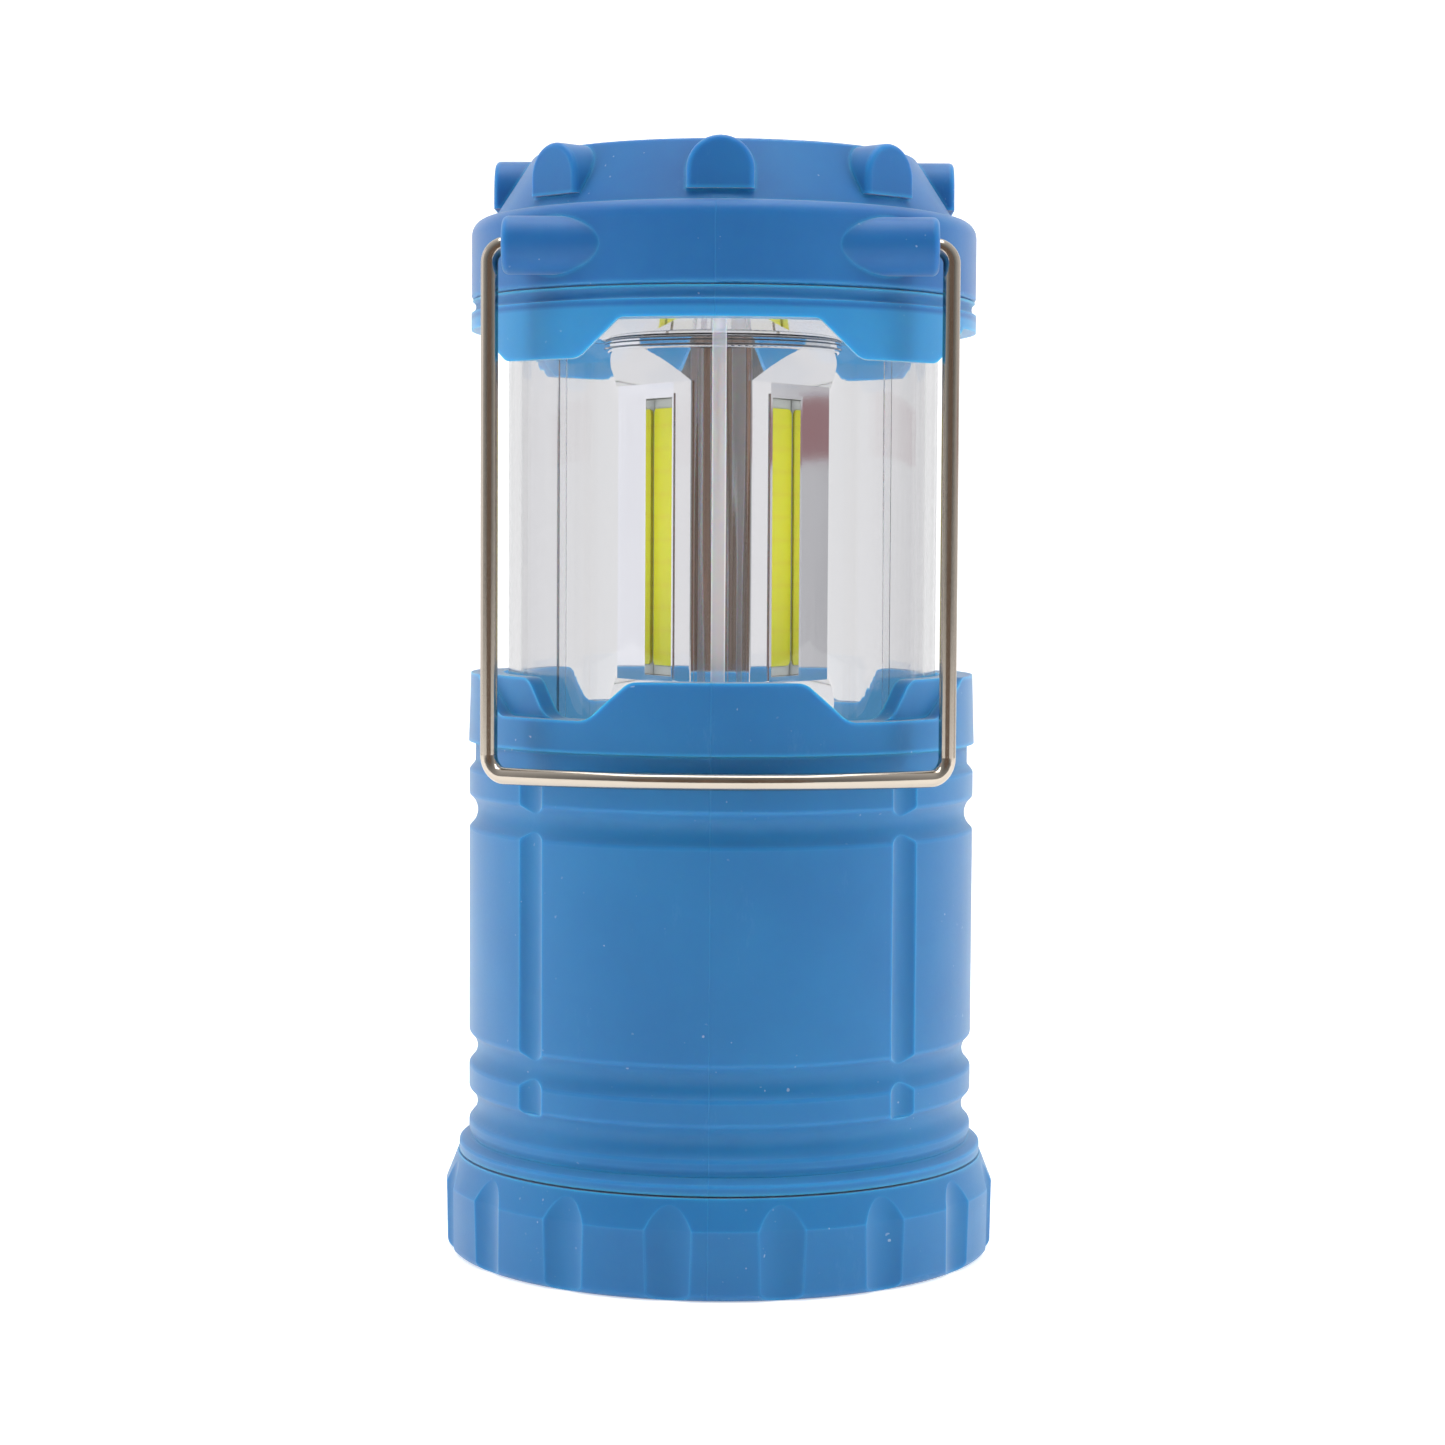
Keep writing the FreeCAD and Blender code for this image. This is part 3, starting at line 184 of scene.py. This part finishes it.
def on_a_rib(g):
    """1 on the post's three ribs, which stand at the front and 120 degrees to each side, and 0 elsewhere."""
    x, y, z = separated(g)
    azimuth = g.math("ABSOLUTE", g.math("ARCTAN2", x, g.math("MULTIPLY", y, -1.0)))
    from_rib = g.math("PINGPONG", azimuth, math.radians(60.0))
    radius = g.math("SQRT", g.math("ADD", g.math("MULTIPLY", x, x), g.math("MULTIPLY", y, y)))
    return g.math("LESS_THAN", g.math("MULTIPLY", radius, g.math("SINE", from_rib)), FLUTE_HALF_WIDTH)


def metal(name, colour, tint, roughness, scratch, grain=900.0, stretch=(1.0, 1.0, 1.0), wave=0.0, crease_shade_heights=(),
          wavy_ribs=False):
    """Plated or brushed metal with streaks in its roughness and a slow drift in its colour.

    The crease heights are where a dark line is painted round the piece: painted shade in place of a modelled crease.
    Wavy ribs have upright ripples, which break up what they mirror into bands.
    """
    g = Graph(name)
    streak = g.noise(grain, 4.0, 0.6, stretch=stretch)
    drift = g.noise(60.0, 3.0, 0.5)
    base = g.mix(drift, colour, tint)
    shine = 1.0
    # Painted shade: at each crease height a dark, non-metallic line is painted round the piece.
    for height in crease_shade_heights:
        z = separated(g)[2]
        line = g.scaled(g.math("ABSOLUTE", g.math("SUBTRACT", z, height)), 1.0, 0.0, 0.07 * MM, 0.18 * MM)
        base = g.mix(line, base, (0.045, 0.045, 0.05))
        shine = g.math("MULTIPLY", shine, g.math("SUBTRACT", 1.0, line))
    rough = g.scaled(streak, roughness * 0.7, roughness * 1.4)
    normal = g.bump(streak, scratch, 0.02 * MM)
    if wave:
        normal = g.bump(g.noise(45.0, 2.0, 0.4), wave, 0.4 * MM, normal)
        normal = g.bump(g.noise(150.0, 2.0, 0.4, stretch=(1.0, 1.0, 0.30)), wave, 0.10 * MM, normal)
    if wavy_ribs:
        ripple = g.noise(330.0, 1.0, 0.5, stretch=(1.0, 1.0, 0.02))
        normal = g.bump(g.math("MULTIPLY", ripple, on_a_rib(g)), 1.0, 0.26 * MM, normal)
    shader = g.add("BsdfPrincipled", {"Base Color": base, "Metallic": shine, "Roughness": rough, "Normal": normal})
    return g.finish(shader.outputs["BSDF"])


RIB_STARTS = 35.4 * MM


def blended(g, fac, a, b):
    mix = g.add("MixShader", {"Fac": fac})
    g.tree.links.new(a, mix.inputs[1])
    g.tree.links.new(b, mix.inputs[2])
    return mix.outputs["Shader"]


def clear_globe():
    """Clear moulded plastic. Shadow and diffuse rays pass straight through, so the lamp inside stays lit."""
    g = Graph("clear_globe")
    haze = g.noise(70.0, 5.0, 0.6)
    draw = g.noise(34.0, 3.0, 0.5, stretch=(1.0, 1.0, 0.06))
    fine = g.noise(260.0, 3.0, 0.6, stretch=(1.0, 1.0, 0.004))
    normal = g.bump(fine, 0.30, 0.06 * MM, g.bump(draw, 0.18, 0.5 * MM))
    edge_on = g.add("LayerWeight", {"Blend": 0.5}).outputs["Facing"]
    glass = g.add("BsdfPrincipled", {
        "Base Color": g.mix(edge_on, (0.930, 0.930, 0.938), (0.60, 0.595, 0.61)),
        "Roughness": g.scaled(haze, 0.0, 0.03), "IOR": 1.47,
        "Transmission Weight": 1.0, "Normal": normal,
    })
    clear = g.add("BsdfTransparent", {"Color": (0.97, 0.975, 0.98)})
    path = g.add("LightPath")
    passes = g.math("MAXIMUM", path.outputs["Is Shadow Ray"], path.outputs["Is Diffuse Ray"])
    x, y, z = separated(g)
    radius = g.math("SQRT", g.math("ADD", g.math("MULTIPLY", x, x), g.math("MULTIPLY", y, y)))
    rib = g.math("GREATER_THAN", radius, RIB_STARTS)
    # Painted highlight: the rib edges turn milky white, more on the camera's side than behind, for bright lines on
    # the ribs.
    highlight_milk = g.add("BsdfPrincipled", {"Base Color": g.mix(fine, (0.74, 0.76, 0.80), (0.95, 0.96, 0.98)),
                                    "Roughness": 0.25, "Subsurface Weight": 0.6, "Subsurface Scale": 2.0 * MM})
    near_side = g.scaled(y, 1.0, 0.25, -5.0 * MM, 5.0 * MM)
    bright = g.math("MULTIPLY", g.scaled(g.edges(0.45 * MM), 0.42, 0.85), near_side)
    glass_with_highlight = blended(g, g.math("MULTIPLY", rib, bright), glass.outputs["BSDF"], highlight_milk.outputs["BSDF"])
    return g.finish(blended(g, passes, glass_with_highlight, clear.outputs["BSDF"]))


def phosphor():
    """Yellow silicone over small dies: a row of faint brighter dots down the strip."""
    g = Graph("phosphor")
    cloud = g.noise(700.0, 3.0, 0.6)
    x, y, z = separated(g)
    pitch = 3.7 * MM
    row = g.math("ABSOLUTE", g.math("SUBTRACT", g.math("FRACT", g.math("DIVIDE", z, pitch)), 0.5))
    dot = g.scaled(row, 1.0, 0.0, 0.0, 0.16)
    colour = g.mix(cloud, (0.66, 0.64, 0.012), (0.72, 0.70, 0.022))
    colour = g.mix(g.math("MULTIPLY", dot, 0.35), colour, (0.66, 0.52, 0.03))
    normal = g.bump(cloud, 0.25, 0.05 * MM)
    # Painted glow: the strip emits faintly although the lamp is off.
    shader = g.add("BsdfPrincipled", {
        "Base Color": colour, "Roughness": g.scaled(cloud, 0.28, 0.42), "Normal": normal,
        "Subsurface Weight": 0.2, "Subsurface Scale": 0.8 * MM,
        "Emission Color": colour, "Emission Strength": 0.12,
    })
    return g.finish(shader.outputs["BSDF"])


def speckled(name, low, high, roughness, grain=1500.0, bump=0.1, drift=90.0):
    """A plain moulded or coated surface: slow colour drift, fine grain in the roughness and relief."""
    g = Graph(name)
    colour = g.mix(g.noise(drift, 4.0, 0.6), low, high)
    fine = g.noise(grain, 3.0, 0.6)
    normal = g.bump(fine, bump, 0.04 * MM)
    shader = g.add("BsdfPrincipled", {
        "Base Color": colour, "Roughness": g.scaled(fine, roughness - 0.07, roughness + 0.09), "Normal": normal,
    })
    return g.finish(shader.outputs["BSDF"])


def circuit_board():
    """Green solder mask with fine darker tracks."""
    g = Graph("circuit_board")
    track = g.add("TexBrick", {"Vector": g.place(), "Scale": 260.0, "Mortar Size": 0.03,
                               "Color1": (0.02, 0.16, 0.07), "Color2": (0.025, 0.19, 0.08),
                               "Mortar": (0.05, 0.28, 0.12)})
    colour = g.mix(g.noise(120.0), track.outputs["Color"], (0.015, 0.13, 0.06))
    normal = g.bump(track.outputs["Fac"], 0.2, 0.03 * MM)
    shader = g.add("BsdfPrincipled", {"Base Color": colour, "Normal": normal,
                                      "Roughness": g.scaled(g.noise(900.0), 0.25, 0.4)})
    return g.finish(shader.outputs["BSDF"])


def assign(name, material):
    mesh = nodes[name].data
    mesh.materials.clear()
    mesh.materials.append(material)


def dress_nodes():
    blue = blue_plastic("blue_plastic", BLUE, -0.9 * MM, (83.6 * MM, 95.0 * MM))
    shaded_cap_blue = blue_plastic("shaded_cap_blue", SHADED_CAP_BLUE, -0.6 * MM, (144.0 * MM, 152.0 * MM), thin_below=152.4 * MM)
    chrome = metal("reflector_chrome", (0.93, 0.93, 0.94), (0.90, 0.90, 0.92), 0.045, 0.02, wave=0.10,
                   wavy_ribs=True)
    lipped_chrome = metal("ceiling_chrome", (0.93, 0.93, 0.94), (0.90, 0.90, 0.92), 0.06, 0.02, wave=0.08,
                          crease_shade_heights=(147.55 * MM, 148.25 * MM, 148.75 * MM))
    nickel = metal("handle_nickel", (0.60, 0.53, 0.45), (0.52, 0.45, 0.37), 0.13, 0.05, grain=1800.0)
    contact = metal("contact_nickel", (0.74, 0.71, 0.66), (0.66, 0.63, 0.58), 0.22, 0.1)
    steel = metal("spring_steel", (0.60, 0.60, 0.61), (0.50, 0.50, 0.52), 0.28, 0.12)
    zinc = metal("screw_steel", (0.58, 0.58, 0.60), (0.50, 0.50, 0.54), 0.32, 0.12)
    dark = speckled("inner_plastic", (0.035, 0.036, 0.040), (0.05, 0.05, 0.055), 0.5)
    looks = {
        blue: ["base_cover", "body_shell", "lower_collar"],
        shaded_cap_blue: ["cap", "upper_collar"],
        chrome: ["reflector_post"],
        lipped_chrome: ["ceiling_reflector"],
        nickel: ["handle"],
        contact: ["bridge_contacts", "cell_contacts", "contact_strips", "contact_leaves"],
        steel: ["battery_springs", "plate_clip"],
        zinc: ["deck_screws", "globe_screws", "post_foot_screws", "post_top_screws", "cap_screws"],
        dark: ["battery_holder", "contact_plate", "carrier", "top_plate"],
        clear_globe(): ["globe"],
        phosphor(): ["phosphor_strips"],
        circuit_board(): ["driver_board"],
        speckled("board_aluminium", (0.52, 0.54, 0.50), (0.62, 0.63, 0.60), 0.42): ["led_boards"],
        speckled("seal_rubber", (0.02, 0.02, 0.02), (0.035, 0.035, 0.035), 0.6, bump=0.2): ["seal_ring"],
        speckled("cell_jacket", (0.10, 0.10, 0.11), (0.16, 0.16, 0.17), 0.3, bump=0.05): ["battery_cells"],
        speckled("lead_insulation", (0.40, 0.02, 0.02), (0.5, 0.04, 0.03), 0.45): ["leads"],
    }
    for material, names in looks.items():
        for name in names:
            assign(name, material)


# ---------------------------------------------------------------- studio

CAMERA_DISTANCE = 0.530
CAMERA_HEIGHT = 0.1165
CAMERA_AZIMUTH = math.radians(1.0)
CAMERA_PITCH = math.radians(3.25)
CAMERA_ROLL = math.radians(0.33)


def light(name, location, target, size, power, mirrored):
    """A soft box. One that is not mirrored leaves no reflection on the globe and the chrome."""
    data = bpy.data.lights.new(name, "AREA")
    data.shape = "RECTANGLE"
    data.size, data.size_y = size
    data.energy = power
    obj = bpy.data.objects.new(name, data)
    bpy.context.scene.collection.objects.link(obj)
    obj.location = location
    obj.rotation_euler = (Vector(target) - Vector(location)).to_track_quat("-Z", "Y").to_euler()
    obj.visible_glossy = mirrored
    obj.visible_transmission = False


def paper(name, colour, seen, lit):
    """Matte studio paper. It glows by one amount for the camera and by another for everything else.

    Through glass it is evenly white. From behind or below it is see-through.
    """
    g = Graph(name)
    mottled = g.mix(g.noise(6.0, 2.0, 0.5), colour, tuple(c * 0.985 for c in colour))
    path = g.add("LightPath")
    glow = g.scaled(path.outputs["Is Camera Ray"], lit, seen)
    shader = g.add("BsdfPrincipled", {"Base Color": mottled, "Roughness": 0.7, "Specular IOR Level": 0.2,
                                      "Emission Color": mottled, "Emission Strength": glow})
    even = g.add("Emission", {"Color": g.mix(g.noise(5.0), (1.0, 1.0, 1.0), (0.98, 0.98, 0.985)), "Strength": 1.0})
    through = path.outputs["Is Transmission Ray"]
    front = blended(g, through, shader.outputs["BSDF"], even.outputs["Emission"])
    behind = g.add("NewGeometry").outputs["Backfacing"]
    return g.finish(blended(g, behind, front, g.add("BsdfTransparent").outputs["BSDF"]))


STRIPES_PER_METRE = 24.0


def striped_card(name):
    """Upright bands of brown, copper and grey."""
    g = Graph(name)
    x, y, z = separated(g)
    sway = g.scaled(g.noise(16.0, 2.0, 0.5), 0.0, 0.8)
    across = g.math("ADD", g.math("MULTIPLY", x, STRIPES_PER_METRE), sway)
    band = g.add("TexNoise", {"W": across, "Scale": 1.0, "Detail": 3.0, "Roughness": 0.7},
                 noise_dimensions="1D").outputs["Fac"]
    colour = g.ramp(band, (0.34, (0.050, 0.038, 0.032)), (0.42, (0.44, 0.28, 0.21)), (0.47, (0.09, 0.07, 0.06)),
                    (0.54, (0.28, 0.225, 0.19)), (0.61, (0.11, 0.10, 0.09)), (0.70, (0.62, 0.56, 0.52)))
    shader = g.add("Emission", {"Color": colour, "Strength": 1.0})
    return g.finish(shader.outputs["Emission"])


FLOOR_LEVEL = -0.05 * MM


def sweep_floor():
    """A pale floor that curves up into a backdrop."""
    mesh = bpy.data.meshes.new("studio_floor")
    grid = bmesh.new()
    profile = [(-2.2, FLOOR_LEVEL), (0.9, FLOOR_LEVEL)]
    profile += [(0.9 + 0.5 * math.sin(a), 0.5 - 0.5 * math.cos(a)) for a in
                (math.radians(d) for d in range(10, 91, 10))]
    profile.append((1.4, 2.6))
    rows = [[grid.verts.new((x, y, z)) for x in (-2.4, 2.4)] for y, z in profile]
    for low, high in zip(rows, rows[1:]):
        face = grid.faces.new((low[0], low[1], high[1], high[0]))
        face.smooth = True
    grid.to_mesh(mesh)
    grid.free()
    floor = bpy.data.objects.new("studio_floor", mesh)
    bpy.context.scene.collection.objects.link(floor)
    mesh.materials.append(paper("studio_white", (0.84, 0.84, 0.84), 0.62, 0.42))


def mauve_card():
    """A pale grey card with a mauve patch at lamp height."""
    g = Graph("card_mauve")
    x, y, z = separated(g)
    streak = g.noise(14.0, 3.0, 0.6, stretch=(1.0, 1.0, 0.2))
    grey = g.mix(streak, (0.42, 0.42, 0.43), (0.95, 0.95, 0.97))
    patch = g.math("MULTIPLY", g.math("GREATER_THAN", z, 0.155), g.math("LESS_THAN", z, 0.185))
    colour = g.mix(patch, grey, (0.36, 0.20, 0.21))
    return g.finish(g.add("Emission", {"Color": colour, "Strength": 1.0}).outputs["Emission"])


def white_card():
    g = Graph("card_white")
    colour = g.mix(g.noise(9.0), (0.97, 0.97, 1.0), (0.90, 0.91, 0.95))
    return g.finish(g.add("Emission", {"Color": colour, "Strength": 1.15}).outputs["Emission"])


def card(name, material, corner, across, height):
    """An upright card that only mirrors see. It starts at corner and runs along the vector across."""
    mesh = bpy.data.meshes.new(name)
    x, y, z = corner
    u, v = across
    mesh.from_pydata([(x, y, z), (x + u, y + v, z), (x + u, y + v, z + height), (x, y, z + height)],
                     [], [(0, 1, 2, 3)])
    obj = bpy.data.objects.new(name, mesh)
    bpy.context.scene.collection.objects.link(obj)
    mesh.materials.append(material)
    obj.visible_camera = False
    obj.visible_diffuse = False
    obj.visible_shadow = False


def cards():
    """What the chrome shows: brown bands round the lens, white at the left and mauve at the right."""
    card("card_lens", striped_card("card_brown"), (-0.30, -0.60, 0.0), (0.60, 0.0), 0.45)
    card("card_left", white_card(), (-1.0, -0.05, 0.0), (0.0, 0.75), 0.8)
    card("card_right", mauve_card(), (1.0, -0.05, 0.0), (0.0, 0.75), 0.8)


def surroundings():
    """A world that is bright behind and beside the lantern and dim on the camera's side. The camera sees it white."""
    world = bpy.data.worlds.new("studio_world")
    world.use_nodes = True
    tree = world.node_tree
    background = tree.nodes["Background"]
    place = tree.nodes.new("ShaderNodeTexCoord")
    split = tree.nodes.new("ShaderNodeSeparateXYZ")
    fade = tree.nodes.new("ShaderNodeMapRange")
    tree.links.new(place.outputs["Generated"], split.inputs["Vector"])
    tree.links.new(split.outputs["Y"], fade.inputs["Value"])
    for socket, value in (("From Min", -1.0), ("From Max", 0.3), ("To Min", 0.10), ("To Max", 0.80)):
        fade.inputs[socket].default_value = value
    path = tree.nodes.new("ShaderNodeLightPath")
    strength = tree.nodes.new("ShaderNodeMath")
    strength.operation = "MAXIMUM"
    tree.links.new(fade.outputs["Result"], strength.inputs[0])
    tree.links.new(path.outputs["Is Camera Ray"], strength.inputs[1])
    tree.links.new(strength.outputs["Value"], background.inputs["Strength"])
    background.inputs["Color"].default_value = (0.95, 0.97, 1.0, 1.0)
    bpy.context.scene.world = world


def studio():
    sweep_floor()
    cards()
    surroundings()
    light("key_left", (-0.85, -0.25, 0.50), (0, 0, 0.09), (0.6, 0.9), 5.2, False)
    light("key_right", (0.85, -0.25, 0.50), (0, 0, 0.09), (0.6, 0.9), 5.2, False)
    light("top", (0.0, 0.0, 1.2), (0, 0, 0.09), (0.9, 0.9), 7.5, True)
    light("front_fill", (0.0, -1.2, 0.12), (0, 0, 0.10), (1.4, 0.9), 1.5, False)
    bpy.context.scene.view_settings.view_transform = "Standard"


def camera():
    data = bpy.data.cameras.new("camera")
    data.sensor_width = 36.0
    data.lens = 80.0
    data.shift_x = 0.0007
    data.clip_start = 0.01
    obj = bpy.data.objects.new("camera", data)
    bpy.context.scene.collection.objects.link(obj)
    turn = Matrix.Rotation(CAMERA_AZIMUTH, 4, "Z") @ Matrix.Rotation(math.pi / 2 - CAMERA_PITCH, 4, "X")
    place = (CAMERA_DISTANCE * math.sin(CAMERA_AZIMUTH), -CAMERA_DISTANCE * math.cos(CAMERA_AZIMUTH), CAMERA_HEIGHT)
    obj.matrix_world = Matrix.Translation(place) @ turn @ Matrix.Rotation(CAMERA_ROLL, 4, "Z")
    bpy.context.scene.camera = obj


dress_nodes()
studio()
camera()
